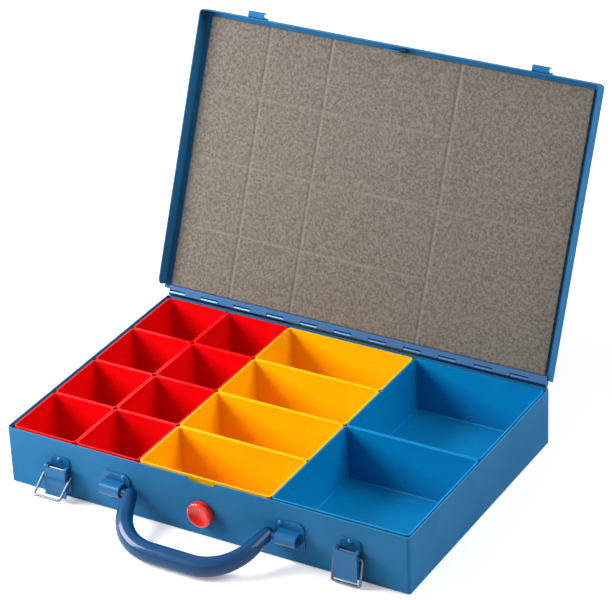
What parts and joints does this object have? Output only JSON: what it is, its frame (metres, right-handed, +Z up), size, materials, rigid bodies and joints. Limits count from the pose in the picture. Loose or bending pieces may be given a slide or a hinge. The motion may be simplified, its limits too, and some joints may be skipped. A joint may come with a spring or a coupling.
{
  "type": "small parts assortment case",
  "caption": "Flat sheet-steel assortment case with a foam-lined hinged lid, toggle latches, push-button lock, bow handle and coloured lift-out boxes.",
  "frame": {"origin": "centre of the tray's underside", "axes": "+Z up, -Y towards the user in front of the latches, +X to the user's right"},
  "size_m": [0.34, 0.3628, 0.2659],
  "materials": {
    "blue_enamel": "glossy blue stove enamel over sheet steel",
    "bare_steel": "bright zinc-plated steel",
    "blue_handle": "glossy blue enamel",
    "red_plastic": "glossy moulded plastic",
    "yellow_plastic": "glossy moulded plastic",
    "blue_plastic": "glossy moulded plastic",
    "button_plastic": "glossy moulded plastic",
    "grey_foam": "open-cell plastic foam, matt"
  },
  "bodies": {
    "case": {"base_tray": "blue_enamel", "hinge_leaf_tray": "blue_enamel", "hinge_pin": "bare_steel", "latch_plate_left": "blue_enamel", "latch_plate_right": "blue_enamel", "latch_lever_pins": "bare_steel", "latch_rivets": "blue_enamel", "handle_bracket_left": "blue_enamel", "handle_bracket_right": "blue_enamel", "handle_rivets": "blue_enamel", "lock_collar": "bare_steel", "lock_spring": "bare_steel"},
    "lid": {"lid_shell": "blue_enamel", "lid_foam": "grey_foam", "hinge_leaf_lid": "blue_enamel", "keeper_left": "blue_enamel", "keeper_right": "blue_enamel", "keeper_rivets": "blue_enamel", "lock_striker": "blue_enamel"},
    "lock": {"lock_button": "button_plastic", "lock_catch": "bare_steel"},
    "handle": {"handle_bow": "blue_handle"},
    "lever_left": {"latch_lever_left": "blue_enamel"},
    "loop_left": {"latch_loop_left": "bare_steel"},
    "lever_right": {"latch_lever_right": "blue_enamel"},
    "loop_right": {"latch_loop_right": "bare_steel"},
    "red_box_1": {"red_box_1": "red_plastic"},
    "red_box_2": {"red_box_2": "red_plastic"},
    "red_box_3": {"red_box_3": "red_plastic"},
    "red_box_4": {"red_box_4": "red_plastic"},
    "red_box_5": {"red_box_5": "red_plastic"},
    "red_box_6": {"red_box_6": "red_plastic"},
    "red_box_7": {"red_box_7": "red_plastic"},
    "red_box_8": {"red_box_8": "red_plastic"},
    "yellow_box_1": {"yellow_box_1": "yellow_plastic"},
    "yellow_box_2": {"yellow_box_2": "yellow_plastic"},
    "yellow_box_3": {"yellow_box_3": "yellow_plastic"},
    "yellow_box_4": {"yellow_box_4": "yellow_plastic"},
    "blue_box_1": {"blue_box_1": "blue_plastic"},
    "blue_box_2": {"blue_box_2": "blue_plastic"}
  },
  "joints": [
    {"name": "lid_hinge", "type": "hinge", "parent": "case", "child": "lid", "pos_m": [0, 0.11185, 0.04975], "axis": [-1, 0, 0], "range_deg": [-113, 0]},
    {"name": "handle_swing", "type": "hinge", "parent": "case", "child": "handle", "pos_m": [0, -0.1175, 0.0225], "axis": [-1, 0, 0], "range_deg": [-66.8, 100.52]},
    {"name": "lock_press", "type": "slide", "parent": "case", "child": "lock", "axis": [0, 1, 0], "range_m": [0, 0.0012], "stiffness_N_per_m": 1500, "springref_m": -0.001},
    {"name": "lever_left_swing", "type": "hinge", "parent": "case", "child": "lever_left", "pos_m": [-0.121, -0.1165, 0.026], "axis": [-1, 0, 0], "range_deg": [0, 120]},
    {"name": "loop_left_swing", "type": "hinge", "parent": "lever_left", "child": "loop_left", "pos_m": [-0.121, -0.1155, 0.0215], "axis": [1, 0, 0], "range_deg": [-120.57, 56.6]},
    {"name": "lever_right_swing", "type": "hinge", "parent": "case", "child": "lever_right", "pos_m": [0.121, -0.1165, 0.026], "axis": [-1, 0, 0], "range_deg": [0, 120]},
    {"name": "loop_right_swing", "type": "hinge", "parent": "lever_right", "child": "loop_right", "pos_m": [0.121, -0.1155, 0.0215], "axis": [1, 0, 0], "range_deg": [-162.97, 14.2]},
    {"name": "red_box_1_lift", "type": "slide", "parent": "case", "child": "red_box_1", "axis": [0, 0, 1], "range_m": [0, 0.06]},
    {"name": "red_box_2_lift", "type": "slide", "parent": "case", "child": "red_box_2", "axis": [0, 0, 1], "range_m": [0, 0.06]},
    {"name": "red_box_3_lift", "type": "slide", "parent": "case", "child": "red_box_3", "axis": [0, 0, 1], "range_m": [0, 0.06]},
    {"name": "red_box_4_lift", "type": "slide", "parent": "case", "child": "red_box_4", "axis": [0, 0, 1], "range_m": [0, 0.06]},
    {"name": "red_box_5_lift", "type": "slide", "parent": "case", "child": "red_box_5", "axis": [0, 0, 1], "range_m": [0, 0.06]},
    {"name": "red_box_6_lift", "type": "slide", "parent": "case", "child": "red_box_6", "axis": [0, 0, 1], "range_m": [0, 0.06]},
    {"name": "red_box_7_lift", "type": "slide", "parent": "case", "child": "red_box_7", "axis": [0, 0, 1], "range_m": [0, 0.06]},
    {"name": "red_box_8_lift", "type": "slide", "parent": "case", "child": "red_box_8", "axis": [0, 0, 1], "range_m": [0, 0.06]},
    {"name": "yellow_box_1_lift", "type": "slide", "parent": "case", "child": "yellow_box_1", "axis": [0, 0, 1], "range_m": [0, 0.06]},
    {"name": "yellow_box_2_lift", "type": "slide", "parent": "case", "child": "yellow_box_2", "axis": [0, 0, 1], "range_m": [0, 0.06]},
    {"name": "yellow_box_3_lift", "type": "slide", "parent": "case", "child": "yellow_box_3", "axis": [0, 0, 1], "range_m": [0, 0.06]},
    {"name": "yellow_box_4_lift", "type": "slide", "parent": "case", "child": "yellow_box_4", "axis": [0, 0, 1], "range_m": [0, 0.06]},
    {"name": "blue_box_1_lift", "type": "slide", "parent": "case", "child": "blue_box_1", "axis": [0, 0, 1], "range_m": [0, 0.06]},
    {"name": "blue_box_2_lift", "type": "slide", "parent": "case", "child": "blue_box_2", "axis": [0, 0, 1], "range_m": [0, 0.06]}
  ]
}
